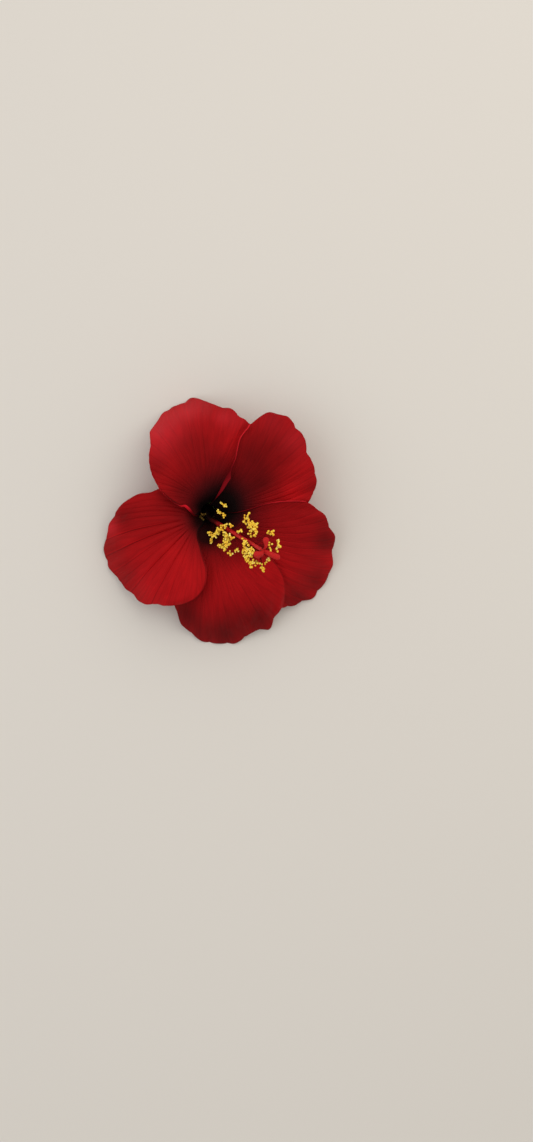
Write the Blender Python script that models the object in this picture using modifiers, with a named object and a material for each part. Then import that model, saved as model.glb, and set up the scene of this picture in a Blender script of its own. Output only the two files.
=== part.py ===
# Hibiscus bloom, picked with a short stalk and lying face up.
# Five petals overlap in one turning direction around a narrow funnel. The staminal column leans out of it
# with its anthers, and the style runs inside the column. A green calyx with seven bracts holds the petals.
# Lengths are in millimetres and angles in degrees, counter-clockwise from +X as seen from above.
# The origin lies under the middle of the bloom, on the surface it rests on.

import math

import bmesh
import bpy
from mathutils import Matrix, Vector
from mathutils.geometry import intersect_point_line

MM = 0.001

# The mouth of the funnel, and how far the funnel's foot lies from under it.
MOUTH = Vector((-1.8, 1.8, 0.0))
FUNNEL_LEAN = Vector((-4.0, 2.4, 0.0))

# The corolla's meridian below the blades: radius and height from the foot ring to the mouth.
FUNNEL = ((4.6, 4.6), (4.8, 8.2), (5.4, 12.0), (7.0, 15.6), (10.4, 18.8))
# The blades' heights at four radii, in the directions where the bloom rises or droops.
BLADE_RADII = (20.0, 34.0, 50.0, 66.0)
BLADE_HEIGHTS = {
    112.0: (22.5, 26.0, 21.0, -10.3),
    54.0: (24.0, 29.5, 31.5, 27.5),
    -6.0: (22.5, 26.5, 25.0, 12.0),
    -42.0: (22.0, 25.0, 20.5, 1.8),
    -90.0: (22.0, 24.5, 20.0, 3.8),
    200.0: (22.0, 24.5, 19.0, -4.1),
}
BLADE_SPREAD = 27.0  # how far round each direction's heights reach
# The surface is drawn on past the rim, with this much more droop than its last stretch.
LAST_RADIUS = 82.0
RIM_DROOP = 1.35

# Each petal: its covering edge and its covered edge as (radius, direction), its outer rim as (direction,
# radius), how far the covering edge stands off its neighbour, and how far it rolls up.
PETALS = {
    "petal_upper_left": {
        "over": (
            (4.6, 163), (7, 172), (10, 178), (17.5, 162), (30, 155),
            (36, 150.5), (42, 144), (50, 132), (56, 128),
        ),
        "under": ((4.6, 97), (7, 80), (10, 61), (18, 50), (30, 48), (44, 50)),
        "rim": (
            (50, 43), (57, 48), (65, 51.5), (73, 53.5), (80, 57), (88, 59),
            (96, 63), (100, 65), (106, 63.5), (115, 62.5), (121, 60), (128, 56),
        ),
        "raise": 1.2,
        "curl": 1.6,
    },
    "petal_upper_right": {
        "over": ((4.6, 91), (7, 87), (10, 79), (18, 68), (23, 66.5), (31, 68), (40, 69), (49, 68.5)),
        "under": ((4.6, 25), (7, 12), (10, -4), (18, -8), (30, -8), (41, -5)),
        "rim": (
            (-5, 41), (2, 46.5), (8, 50), (12, 53), (16, 55.5), (24, 57.5), (33, 58.5),
            (40, 62), (46, 63), (52, 64), (60, 62), (64, 57.5), (68.5, 49),
        ),
        "raise": 1.5,
        "curl": 0.8,
    },
    "petal_right": {
        "over": ((4.6, 19), (7, 14), (10, 8), (14, 8), (22, 11), (30, 12), (38, 11), (49, 8.5)),
        "under": ((4.6, -47), (7, -58), (10, -66), (20, -64), (36, -62), (49, -64)),
        "rim": (
            (-64, 49), (-58, 56.5), (-52, 61), (-48, 63), (-40, 68), (-28, 68),
            (-22, 67.5), (-15, 65), (-10, 64.5), (-3, 61), (1, 58.5), (8.5, 49),
        ),
        "raise": 1.0,
        "curl": 0.8,
    },
    "petal_lower": {
        "over": (
            (4.6, -53), (7, -50), (10, -47), (20, -40), (36, -36),
            (44, -37), (51, -40), (57, -47), (60, -52.5),
        ),
        "under": ((4.6, -119), (7, -126), (10, -131), (16, -122), (26, -116), (36, -115), (48, -120)),
        "rim": (
            (-120, 48), (-114, 55), (-108, 59), (-101, 63), (-96, 65), (-92, 67), (-84, 67.5),
            (-77, 66), (-70, 64), (-64.5, 65.5), (-60, 63), (-56, 61), (-52.5, 60),
        ),
        "raise": 0.0,
        "curl": 0.3,
    },
    "petal_left": {
        "over": (
            (4.6, 235), (7, 238), (10, 241), (16, 259), (26, 265.5), (36, 263.5), (45, 258), (51.5, 249.5),
        ),
        "under": (
            (4.6, 169), (7, 166), (10, 160), (17.5, 143), (26, 146),
            (32.5, 154), (37, 160), (42, 164), (50, 171),
        ),
        "rim": (
            (171, 50), (176, 53), (183, 56), (190, 59.5), (195, 62), (207, 62),
            (215, 62), (223, 60), (231, 59), (236, 55.5), (243, 53.5), (249.5, 50.5),
        ),
        "raise": 2.6,
        "curl": 0.4,
    },
}
PETAL_THICKNESS = 0.6
PETAL_COLUMNS = 16
PETAL_ROWS = 19
FUNNEL_SHARE = 0.26  # the share of a petal's rows that lie below the mouth
# A covering edge lies this far inside the common surface and a covered edge as far outside it: at the foot,
# up the funnel and at the rim. The last takes over between the two blade radii.
TWIST_AT_FOOT = 0.5
TWIST_IN_FUNNEL = 0.9
TWIST_AT_RIM = 4.0
BLADE_FREE_FROM = 16.0
BLADE_FREE_AT = 54.0
ARCH = 2.2  # how far a blade's edges droop beside its middle
RUFFLE = 1.0
RUFFLE_LENGTH = 13.0
RUFFLE_POWER = 8  # how closely the ruffles keep to the rim
CURL_FROM = 0.8  # the share of the half width where the covering edge starts to roll

# What stands on the receptacle keeps this gap to it, with a little more for the sheets' slanting feet.
GAP = 0.3
RECEPTACLE_RADIUS = 7.2
FOOT_SLANT = 0.15
RECEPTACLE_TOP = FUNNEL[0][1] - GAP - FOOT_SLANT
# The bowl's profile: radius, and how far below its top.
RECEPTACLE = ((0.0, 0.0), (6.7, 0.0), (7.2, 0.4), (7.0, 1.1), (6.1, 1.8), (4.5, 2.3), (2.6, 2.7), (0.0, 2.8))
# The stalk's middle line from the funnel's foot, with its radius. Its cut end lies on the surface.
STALK = (
    ((0.0, 0.0, 3.2), 1.7),
    ((-0.7, 0.5, 2.2), 1.6),
    ((-2.2, 1.4, 1.5), 1.4),
    ((-4.4, 2.7, 1.3), 1.3),
    ((-6.8, 4.1, 1.3), 1.3),
)
CALYX_THICKNESS = 0.7
CALYX_OFFSET = 2.1  # from the corolla's common surface to the calyx wall
CALYX_FLARE = 0.9  # how much further off the lobes' points stand
CALYX_NOTCH = 2.3  # the steps along the meridian that the cup covers, and the lobes beyond it
CALYX_LOBE = 2.1
CALYX_TURN = 20.0
BRACTS = 7
BRACT_WIDTH = 2.2
BRACT_TIP = 0.14  # the share of its width left at its point
BRACT_THICKNESS = 0.5
BRACT_TURN = 12.0
# A bract's middle line: its distance out from the receptacle's side, and its height.
BRACT_LINE = ((0.0, 3.2), (0.25, 5.0), (1.3, 7.6), (3.1, 10.6), (5.4, 13.2))

# The column's middle line, from under the mouth: up the funnel, then one straight run that leans out.
COLUMN_LINE = ((-4.0, 2.4, 4.6), (-4.0, 2.2, 7.6), (-3.9, 1.7, 10.4), (-3.6, 0.6, 12.8), (-2.7, -1.1, 15.4))
COLUMN_TIP = (24.8, -17.9, 52.9)
COLUMN_RADII = (3.0, 2.95, 2.25, 1.7, 1.45)
BORE_RADII = (2.5, 2.5, 1.75, 1.22, 0.96)
OVARY_RADII = (1.8, 2.1, 1.2, 0.6, 0.45)
TIP_RADII = (1.15, 0.8, 0.42)  # column, bore and style at the top
STYLE_BEYOND = 2.6

# The stigma lobes' ends, from the top of the style: along the lean, across it and upwards.
LOBES = ((-2.0, 5.4, 2.2), (-1.3, -3.3, 4.4), (8.0, 1.1, 1.6), (6.2, 0.8, -3.8), (1.2, -4.8, -2.4))
LOBE_RADIUS = 1.25
LOBE_RISE = 1.2  # how far a lobe bows up along the style

# Tufts of anthers, seen from the column: distance along it from the mouth, offset across it, offset to its
# upper side, and the number of anthers.
TUFTS = (
    (0.6, -1.4, 4.2, 1),
    (1.2, 1.8, 3.6, 1),
    (6.4, 9.4, 1.2, 1),
    (7.0, 5.4, 1.6, 1),
    (8.5, -6.4, 1.0, 2),
    (14.0, -3.4, 4.0, 2),
    (21.5, -6.8, 1.4, 5),
    (27.0, -8.6, -1.4, 2),
    (24.0, 1.2, 5.2, 2),
    (31.5, 1.0, 5.2, 1),
    (32.7, 7.4, 1.0, 6),
    (38.5, -1.8, 4.6, 2),
    (41.5, -5.8, 0.8, 3),
    (45.0, -8.4, -2.0, 2),
    (45.5, 8.0, -3.4, 3),
    (50.0, 7.4, -5.2, 3),
    (49.5, -7.0, -5.6, 1),
    (51.5, -9.6, -8.2, 1),
)
ANTHER_SIZE = (1.9, 1.45, 1.3)
ANTHER_SPACING = 3.9  # between two anthers' middles
ANTHER_REACH = 3.7  # from the column's middle line
FILAMENT_CLEARANCE = 2.5  # from an anther's middle to another anther's filament
TUFT_SPACING = 2.6
FILAMENT_RADII = (0.3, 0.26, 0.22)
FILAMENT_LAG = 4.6  # a filament leaves the column this far below its anther
FILAMENT_BEND = 0.6
FILAMENT_ROOT = 0.98  # its foot lies inside the column's wall, this far from the middle line
LOWEST_FILAMENT = -1.6  # along the column, from where its straight run starts


def smooth_step(x):
    x = min(max(x, 0.0), 1.0)
    return x * x * (3.0 - 2.0 * x)


def through_points(points, x):
    """The smooth curve through (x, y) points, level beyond its ends."""
    if x <= points[0][0]:
        return points[0][1]
    if x >= points[-1][0]:
        return points[-1][1]
    k = 0
    while points[k + 1][0] < x:
        k += 1
    x0, y0 = points[k]
    x1, y1 = points[k + 1]
    chord = (y1 - y0) / (x1 - x0)
    before = points[k - 1] if k else points[k]
    after = points[k + 2] if k + 2 < len(points) else points[k + 1]
    slope0 = (y1 - before[1]) / (x1 - before[0])
    slope1 = (after[1] - y0) / (after[0] - x0)
    if k == 0:
        slope0 = chord
    if k + 2 == len(points):
        slope1 = chord
    t = (x - x0) / (x1 - x0)
    span = x1 - x0
    start = (2 * t**3 - 3 * t**2 + 1) * y0 + (t**3 - 2 * t**2 + t) * span * slope0
    end = (3 * t**2 - 2 * t**3) * y1 + (t**3 - t**2) * span * slope1
    return start + end


def blade_heights(direction):
    """The blades' heights at their radii in one direction, blended from the named directions."""
    total = 0.0
    heights = [0.0] * len(BLADE_RADII)
    for angle, values in BLADE_HEIGHTS.items():
        apart = (direction - angle + 180.0) % 360.0 - 180.0
        weight = math.exp(-0.5 * (apart / BLADE_SPREAD) ** 2)
        total += weight
        heights = [h + weight * v for h, v in zip(heights, values)]
    return [h / total for h in heights]


def meridian(direction):
    """(radius, height) from the foot ring to past the rim, in one direction."""
    heights = blade_heights(direction)
    blade = list(zip(BLADE_RADII, heights))
    last = (LAST_RADIUS, heights[-1] + RIM_DROOP * (heights[-1] - heights[-2]))
    return list(FUNNEL) + blade + [last]


def along(values, s):
    """A Catmull-Rom curve through values at s = 0, 1, 2 ..."""
    k = min(int(s), len(values) - 2)
    t = s - k
    b = values[k]
    c = values[k + 1]
    a = values[k - 1] if k else 2 * b - c
    d = values[k + 2] if k + 2 < len(values) else 2 * c - b
    return 0.5 * (2 * b + (c - a) * t + (2 * a - 5 * b + 4 * c - d) * t * t + (3 * b - a - 3 * c + d) * t**3)


RADII = [r for r, _ in FUNNEL] + list(BLADE_RADII) + [LAST_RADIUS]
MOUTH_STEP = len(FUNNEL) - 1
MOUTH_RADIUS = FUNNEL[-1][0]


def step_at(radius):
    """The step along the meridian at which it reaches a radius."""
    low, high = 0.0, len(RADII) - 1.0
    for _ in range(40):
        middle = (low + high) / 2
        if along(RADII, middle) < radius:
            low = middle
        else:
            high = middle
    return (low + high) / 2


def on_surface(direction, s):
    """A point of the surface that all five petals share."""
    heights = [z for _, z in meridian(direction)]
    radius = along(RADII, s)
    angle = math.radians(direction)
    centre = MOUTH + FUNNEL_LEAN * (1.0 - smooth_step(s / (MOUTH_STEP + 1)))
    return centre + Vector((radius * math.cos(angle), radius * math.sin(angle), along(heights, s)))


def surface_normal(direction, s):
    """Its normal, towards the inside of the funnel and the upper side of the blades."""
    round_it = on_surface(direction + 0.5, s) - on_surface(direction - 0.5, s)
    s = max(s, 0.01)
    up_it = on_surface(direction, s + 0.01) - on_surface(direction, s - 0.01)
    return up_it.cross(round_it).normalized()


def petal_point(shape, u, v):
    """A petal's middle surface: u from the covered edge at -1 to the covering one at 1, v from the foot."""
    share = (u + 1.0) / 2.0
    rim_direction = shape["rim"][0][0] + share * (shape["rim"][-1][0] - shape["rim"][0][0])
    rim_radius = through_points(shape["rim"], rim_direction)
    rim_step = step_at(rim_radius)
    if v < FUNNEL_SHARE:
        s = MOUTH_STEP * v / FUNNEL_SHARE
    else:
        s = MOUTH_STEP + (rim_step - MOUTH_STEP) * (v - FUNNEL_SHARE) / (1.0 - FUNNEL_SHARE)
    radius = along(RADII, s)
    under = through_points(shape["under"], radius)
    over = through_points(shape["over"], radius)
    direction = under + share * (over - under)
    outward = smooth_step((radius - BLADE_FREE_FROM) / (BLADE_FREE_AT - BLADE_FREE_FROM))
    twist = TWIST_AT_FOOT + (TWIST_IN_FUNNEL - TWIST_AT_FOOT) * smooth_step(s / 2.0)
    twist += (TWIST_AT_RIM - TWIST_IN_FUNNEL) * outward
    past_mouth = smooth_step((radius - MOUTH_RADIUS) / MOUTH_RADIUS)
    curl = smooth_step((u - CURL_FROM) / (1.0 - CURL_FROM))
    ruffle = math.sin(2.0 * math.pi * math.radians(direction) * rim_radius / RUFFLE_LENGTH)
    lift = twist * u - ARCH * outward * u * u
    lift += past_mouth * (shape["raise"] * smooth_step(u) + shape["curl"] * curl)
    lift += RUFFLE * ruffle * (radius / rim_radius) ** RUFFLE_POWER
    upright = smooth_step((radius - MOUTH_RADIUS) / MOUTH_RADIUS)
    way = surface_normal(direction, s).lerp(Vector((0.0, 0.0, 1.0)), upright).normalized()
    return on_surface(direction, s) + way * lift


def make_material(name, colour, roughness):
    material = bpy.data.materials.new(name)
    material.use_nodes = True
    shader = material.node_tree.nodes["Principled BSDF"]
    shader.inputs["Base Color"].default_value = (*colour, 1.0)
    shader.inputs["Roughness"].default_value = roughness
    shader.inputs["Metallic"].default_value = 0.0
    return material


def add_object(name, mesh, material, collection):
    thing = bpy.data.objects.new(name, mesh)
    collection.objects.link(thing)
    if material:
        mesh.materials.clear()
        mesh.materials.append(material)
    return thing


def hide_cutter(thing):
    thing.hide_render = True
    thing.display_type = "WIRE"


def mapped_grid(name, columns, rows, place, seam=False):
    """A grid with its vertices at place(u, v), u from -1 to 1, v from 0 to 1. A seam joins its two sides."""
    bm = bmesh.new()
    bmesh.ops.create_grid(bm, x_segments=columns, y_segments=rows, size=0.5)
    for vert in bm.verts:
        vert.co = place(2.0 * vert.co.x, vert.co.y + 0.5) * MM
    if seam:
        bmesh.ops.remove_doubles(bm, verts=bm.verts[:], dist=1e-6)
    mesh = bpy.data.meshes.new(name)
    bm.to_mesh(mesh)
    bm.free()
    mesh.shade_smooth()
    return mesh


def add_solidify(thing, thickness):
    solid = thing.modifiers.new("Thickness", "SOLIDIFY")
    solid.thickness = thickness * MM
    solid.offset = 0.0
    solid.use_even_offset = True


def tube_mesh(name, lines, sides=3):
    """Closed round tubes along lines of (point, radius), as one mesh with its caps welded."""
    curve = bpy.data.curves.new(name, "CURVE")
    curve.dimensions = "3D"
    curve.bevel_depth = MM
    curve.bevel_resolution = sides
    curve.use_fill_caps = True
    for line in lines:
        spline = curve.splines.new("POLY")
        spline.points.add(len(line) - 1)
        for spot, (point, radius) in zip(spline.points, line):
            spot.co = (*(point * MM), 1.0)
            spot.radius = radius
    guide = bpy.data.objects.new(name + "_line", curve)
    bpy.context.scene.collection.objects.link(guide)
    graph = bpy.context.evaluated_depsgraph_get()
    mesh = bpy.data.meshes.new_from_object(guide.evaluated_get(graph))
    bm = bmesh.new()
    bm.from_mesh(mesh)
    bmesh.ops.remove_doubles(bm, verts=bm.verts[:], dist=1e-6)
    bmesh.ops.recalc_face_normals(bm, faces=bm.faces[:])
    bm.to_mesh(mesh)
    bm.free()
    mesh.name = name
    mesh.shade_smooth()
    bpy.data.objects.remove(guide)
    bpy.data.curves.remove(curve)
    return mesh


def add_boolean(thing, other, operation):
    step = thing.modifiers.new(operation.title(), "BOOLEAN")
    step.operation = operation
    step.solver = "EXACT"
    step.use_self = True
    step.object = other


def make_petals(collection, material):
    for name, shape in PETALS.items():

        def place(u, v, shape=shape):
            return petal_point(shape, u, v)

        petal = add_object(name, mapped_grid(name, PETAL_COLUMNS, PETAL_ROWS, place), material, collection)
        add_solidify(petal, PETAL_THICKNESS)


def make_calyx(collection, material):
    """A cup that follows the funnel's outside, with five pointed lobes that spread under the blades."""

    def place(u, v):
        direction = 180.0 * u
        lobe = abs(math.cos(math.radians(2.5 * (direction - CALYX_TURN)))) ** 0.8
        s = (CALYX_NOTCH + CALYX_LOBE * lobe) * v
        spread = CALYX_OFFSET + CALYX_FLARE * smooth_step((s - CALYX_NOTCH) / CALYX_LOBE)
        return on_surface(direction, s) - surface_normal(direction, s) * spread

    calyx = add_object("calyx", mapped_grid("calyx", 40, 7, place, seam=True), material, collection)
    add_solidify(calyx, CALYX_THICKNESS)


def make_bracts(collection, material):
    """Seven narrow bracts round the receptacle, curving up beside the calyx."""
    foot = MOUTH + FUNNEL_LEAN
    start = RECEPTACLE_RADIUS + GAP + BRACT_THICKNESS / 2.0
    base, point = BRACT_LINE[0][1], BRACT_LINE[-1][1]
    for k in range(BRACTS):
        angle = math.radians(360.0 * k / BRACTS + BRACT_TURN)
        outward = Vector((math.cos(angle), math.sin(angle), 0.0))
        sideways = Vector((-math.sin(angle), math.cos(angle), 0.0))

        def place(u, v, outward=outward, sideways=sideways):
            step = v * (len(BRACT_LINE) - 1)
            radius = start + along([out for out, _ in BRACT_LINE], step)
            height = along([z for _, z in BRACT_LINE], step)
            lean = FUNNEL_LEAN * (-0.4 * smooth_step((height - base) / (point - base)))
            width = BRACT_WIDTH * (1.0 - (1.0 - BRACT_TIP) * v**1.6)
            return foot + lean + outward * radius + sideways * (width * u / 2.0) + Vector((0.0, 0.0, height))

        name = f"bract_{k + 1}"
        bract = add_object(name, mapped_grid(name, 3, 8, place), material, collection)
        add_solidify(bract, BRACT_THICKNESS)


def make_pedicel(collection, cutters, material):
    """The receptacle, a turned bowl, and the picked stalk that bends to lie on the surface."""
    foot = MOUTH + FUNNEL_LEAN
    bm = bmesh.new()
    spots = [bm.verts.new(Vector((radius, 0.0, RECEPTACLE_TOP - drop)) * MM) for radius, drop in RECEPTACLE]
    for a, b in zip(spots, spots[1:]):
        bm.edges.new((a, b))
    mesh = bpy.data.meshes.new("pedicel")
    bm.to_mesh(mesh)
    bm.free()
    pedicel = add_object("pedicel", mesh, material, collection)
    pedicel.location = foot * MM
    turn = pedicel.modifiers.new("Turn", "SCREW")
    turn.steps = 36
    turn.render_steps = 36
    turn.use_merge_vertices = True
    turn.merge_threshold = 0.00001
    turn.use_smooth_shade = False
    stalk_line = [(foot + Vector(point), radius) for point, radius in STALK]
    stalk = add_object("stalk", tube_mesh("stalk", [stalk_line]), material, cutters)
    hide_cutter(stalk)
    add_boolean(pedicel, stalk, "UNION")


def column_frame():
    """The leaning run's start, its direction, the level direction across it and the one to its upper side."""
    start = MOUTH + Vector(COLUMN_LINE[-1])
    direction = (MOUTH + Vector(COLUMN_TIP) - start).normalized()
    across = Vector((0.0, 0.0, 1.0)).cross(direction).normalized()
    upper = direction.cross(across)
    return start, direction, across, upper


def column_line(radii, tip_radius, first=0.0, beyond=0.0, points=30):
    """(point, radius) along the column's middle line. It can start lower or end further than the column."""
    start, direction, _, _ = column_frame()
    knots = [MOUTH + Vector(p) for p in COLUMN_LINE]
    length = (MOUTH + Vector(COLUMN_TIP) - start).length + beyond
    runs = 6
    knots += [start + direction * length * k / runs for k in range(1, runs + 1)]
    sizes = list(radii) + [radii[-1] + (tip_radius - radii[-1]) * k / runs for k in range(1, runs + 1)]
    line = []
    for k in range(points + 1):
        s = (len(knots) - 1) * k / points
        line.append((along(knots, s), along(sizes, s)))
    if first:
        line[0] = (line[0][0] - Vector((0.0, 0.0, first)), line[0][1])
    return line


def filament_foot(place):
    """Where an anther's filament leaves the column, in the column's own directions."""
    outward = Vector((0.0, place.y, place.z)).normalized()
    return Vector((max(place.x - FILAMENT_LAG, LOWEST_FILAMENT), 0.0, 0.0)) + outward * FILAMENT_ROOT


def push_from(place, spot, clearance):
    """Moves a place straight away from a spot that is nearer than the clearance."""
    apart = place - spot
    if 0.0 < apart.length < clearance:
        place += apart.normalized() * (clearance - apart.length)


def anther_places():
    """The anthers' middles in the column's own directions: along it, across it and to its upper side."""
    places = []
    for length, across, upper, count in TUFTS:
        for k in range(count):
            turn = math.radians(137.5 * k + 31.0 * len(places))
            offset = Vector((1.1 * math.cos(turn), math.sin(turn), 0.45 * math.sin(2.0 * turn)))
            places.append(Vector((length, across, upper)) + offset * TUFT_SPACING * math.sqrt(k))
    for _ in range(80):
        for one in places:
            push_from(one, Vector((one.x, 0.0, 0.0)), ANTHER_REACH)
            for other in places:
                if other is one:
                    continue
                push_from(one, other, ANTHER_SPACING)
                foot = filament_foot(other)
                spot, share = intersect_point_line(one, foot, other)
                push_from(one, foot.lerp(other, min(max(share, 0.0), 1.0)), FILAMENT_CLEARANCE)
    return places


def filament_line(place):
    """The anther's end of the filament and its line of (point, radius), from inside the column's wall."""
    start, *axes = column_frame()
    turn = Matrix(axes).transposed()
    anther = start + turn @ place
    foot = start + turn @ filament_foot(place)
    bend = foot.lerp(anther, 0.5) + axes[0] * FILAMENT_BEND
    inward = (bend - anther).normalized()
    end = anther + inward * (ANTHER_SIZE[2] + GAP)
    return anther, inward, list(zip((foot, bend, end), FILAMENT_RADII))


def make_column(collection, cutters, material, places):
    """The tube round the style, with every filament grown on it."""
    tube = tube_mesh("staminal_column", [column_line(COLUMN_RADII, TIP_RADII[0])])
    column = add_object("staminal_column", tube, material, collection)
    lines = [filament_line(place)[2] for place in places]
    filaments = add_object("filaments", tube_mesh("filaments", lines, sides=0), material, cutters)
    bore_line = column_line(BORE_RADII, TIP_RADII[1], first=1.0, beyond=2.0)
    bore = add_object("bore", tube_mesh("bore", [bore_line], sides=2), None, cutters)
    for cutter in (filaments, bore):
        hide_cutter(cutter)
    add_boolean(column, filaments, "UNION")
    add_boolean(column, bore, "DIFFERENCE")


def make_anthers(collection, material, places):
    bm = bmesh.new()
    bmesh.ops.create_icosphere(bm, subdivisions=2, radius=MM)
    bmesh.ops.scale(bm, vec=ANTHER_SIZE, verts=bm.verts[:])
    mesh = bpy.data.meshes.new("anther")
    bm.to_mesh(mesh)
    bm.free()
    mesh.shade_smooth()
    for k, place in enumerate(places):
        middle, inward, _ = filament_line(place)
        anther = add_object(f"anther_{k + 1:02d}", mesh, material, collection)
        anther.location = middle * MM
        anther.rotation_mode = "QUATERNION"
        anther.rotation_quaternion = inward.to_track_quat("Z", "X")


def make_pistil(collection, cutters, material):
    """Ovary, style and five stigma lobes."""
    line = column_line(OVARY_RADII, TIP_RADII[2], beyond=STYLE_BEYOND)
    pistil = add_object("pistil", tube_mesh("pistil", [line]), material, collection)
    _, direction, across, _ = column_frame()
    level = Vector((direction.x, direction.y, 0.0)).normalized()
    top = line[-1][0]
    for k, (forward, sideways, up) in enumerate(LOBES):
        end = top + level * forward + across * sideways + Vector((0.0, 0.0, up))
        middle = top.lerp(end, 0.45) + direction * LOBE_RISE
        knots = [top - direction * 0.5, middle, end]
        sizes = [0.5, 0.8, LOBE_RADIUS]
        lobe_line = [(along(knots, s / 3.0), along(sizes, s / 3.0)) for s in range(7)]
        way = (end - lobe_line[-2][0]).normalized()
        for angle in (27.0, 53.0, 72.0):
            turn = math.radians(angle)
            lobe_line.append((end + way * LOBE_RADIUS * math.sin(turn), LOBE_RADIUS * math.cos(turn)))
        name = f"lobe_{k + 1}"
        lobe = add_object(name, tube_mesh(name, [lobe_line], sides=2), material, cutters)
        hide_cutter(lobe)
        add_boolean(pistil, lobe, "UNION")


def main():
    for thing in list(bpy.data.objects):
        bpy.data.objects.remove(thing)
    collection = bpy.data.collections.new("hibiscus_flower")
    cutters = bpy.data.collections.new("cutters")
    bpy.context.scene.collection.children.link(collection)
    bpy.context.scene.collection.children.link(cutters)
    petal_red = make_material("petal_red", (0.30, 0.008, 0.012), 0.55)
    column_red = make_material("column_red", (0.38, 0.012, 0.022), 0.5)
    stigma_red = make_material("stigma_red", (0.45, 0.02, 0.03), 0.6)
    pollen_yellow = make_material("pollen_yellow", (0.75, 0.52, 0.05), 0.7)
    sepal_green = make_material("sepal_green", (0.12, 0.24, 0.04), 0.55)
    stalk_green = make_material("stalk_green", (0.09, 0.19, 0.04), 0.55)
    places = anther_places()
    make_petals(collection, petal_red)
    make_calyx(collection, sepal_green)
    make_bracts(collection, sepal_green)
    make_pedicel(collection, cutters, stalk_green)
    make_column(collection, cutters, column_red, places)
    make_anthers(collection, pollen_yellow, places)
    make_pistil(collection, cutters, stigma_red)


main()
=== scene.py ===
import math
import random

import bmesh
import bpy
from mathutils import Matrix, Vector, noise


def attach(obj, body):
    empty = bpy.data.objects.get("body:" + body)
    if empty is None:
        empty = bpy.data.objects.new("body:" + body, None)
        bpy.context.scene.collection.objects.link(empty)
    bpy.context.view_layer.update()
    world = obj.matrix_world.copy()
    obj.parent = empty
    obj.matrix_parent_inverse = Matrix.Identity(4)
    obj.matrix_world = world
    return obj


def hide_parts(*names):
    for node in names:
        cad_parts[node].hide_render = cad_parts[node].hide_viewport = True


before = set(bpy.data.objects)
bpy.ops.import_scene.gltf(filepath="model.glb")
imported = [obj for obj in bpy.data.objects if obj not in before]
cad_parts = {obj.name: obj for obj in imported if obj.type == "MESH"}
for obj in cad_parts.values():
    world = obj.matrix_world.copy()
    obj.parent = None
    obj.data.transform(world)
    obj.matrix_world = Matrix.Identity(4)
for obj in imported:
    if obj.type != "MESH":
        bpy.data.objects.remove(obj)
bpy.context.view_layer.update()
print("frame loaded:", len(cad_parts), "nodes")

# lengths are in millimetres until they reach a mesh, angles in degrees counter-clockwise from +X seen from above
mm = 0.001
up = Vector((0.0, 0.0, 1.0))
nodeSpacing = 210.0
mergeDistance = 1e-6


def srgb(code):
    channels = [int(code[k:k + 2], 16) / 255.0 for k in (1, 3, 5)]
    linear = [c / 12.92 if c <= 0.04045 else ((c + 0.055) / 1.055) ** 2.4 for c in channels]
    return (*linear, 1.0)


def outputOf(source):
    # a node stands for its first output
    return source.outputs[0] if isinstance(source, bpy.types.Node) else source


def addNode(tree, kind, settings=None, links=None):
    # adds one node; a setting is an input's name or number, a property, or the stops of a colour ramp
    node = tree.nodes.new("ShaderNode" + kind)
    node.location = (nodeSpacing * (len(tree.nodes) - 2), 0.0)
    for name, value in (settings or {}).items():
        if name == "stops":
            elements = node.color_ramp.elements
            while len(elements) < len(value):
                elements.new(0.5)
            for element, (position, colour) in zip(elements, value):
                element.position = position
                element.color = srgb(colour)
        elif isinstance(name, int) or name in node.inputs.keys():
            node.inputs[name].default_value = value
        else:
            setattr(node, name, value)
    for name, source in (links or {}).items():
        tree.links.new(outputOf(source), node.inputs[name])
    return node


def newMaterial(name, settings):
    material = bpy.data.materials.new(name)
    material.use_nodes = True
    tree = material.node_tree
    tree.nodes.clear()
    shader = addNode(tree, "BsdfPrincipled", {"Metallic": 0.0, **settings})
    addNode(tree, "OutputMaterial", links={"Surface": shader})
    return material, tree, shader


def paintThroatShade(tree, place, colour, low, high, stops):
    # paints shade on a colour deep down in the throat, between two heights in metres
    height = addNode(tree, "SeparateXYZ", links={0: place}).outputs["Z"]
    deep = addNode(tree, "MapRange", {"From Min": low, "From Max": high, "To Min": 0.0, "To Max": 1.0}, {
        "Value": height,
    })
    throat = addNode(tree, "ValToRGB", {"stops": stops}, {"Fac": deep})
    return addNode(tree, "MixRGB", {"blend_type": "MULTIPLY", "Fac": 1.0}, {"Color1": colour, "Color2": throat})


def dress(tree, shader, colour, height, strength, distance, invert=False):
    # gives the shader its colour and a small relief, whose distance is in metres
    relief = addNode(tree, "Bump", {"Strength": strength, "Distance": distance, "invert": invert}, {"Height": height})
    tree.links.new(outputOf(colour), shader.inputs["Base Color"])
    tree.links.new(outputOf(relief), shader.inputs["Normal"])


def smoothStep(x):
    x = min(max(x, 0.0), 1.0)
    return x * x * (3.0 - 2.0 * x)


def along(values, s):
    # smooth curve through values at s = 0, 1, 2 ...
    k = min(max(int(s), 0), len(values) - 2)
    t = s - k
    b, c = values[k], values[k + 1]
    a = values[k - 1] if k else 2 * b - c
    d = values[k + 2] if k + 2 < len(values) else 2 * c - b
    return 0.5 * (2 * b + (c - a) * t + (2 * a - 5 * b + 4 * c - d) * t * t + (3 * b - a - 3 * c + d) * t ** 3)


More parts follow.
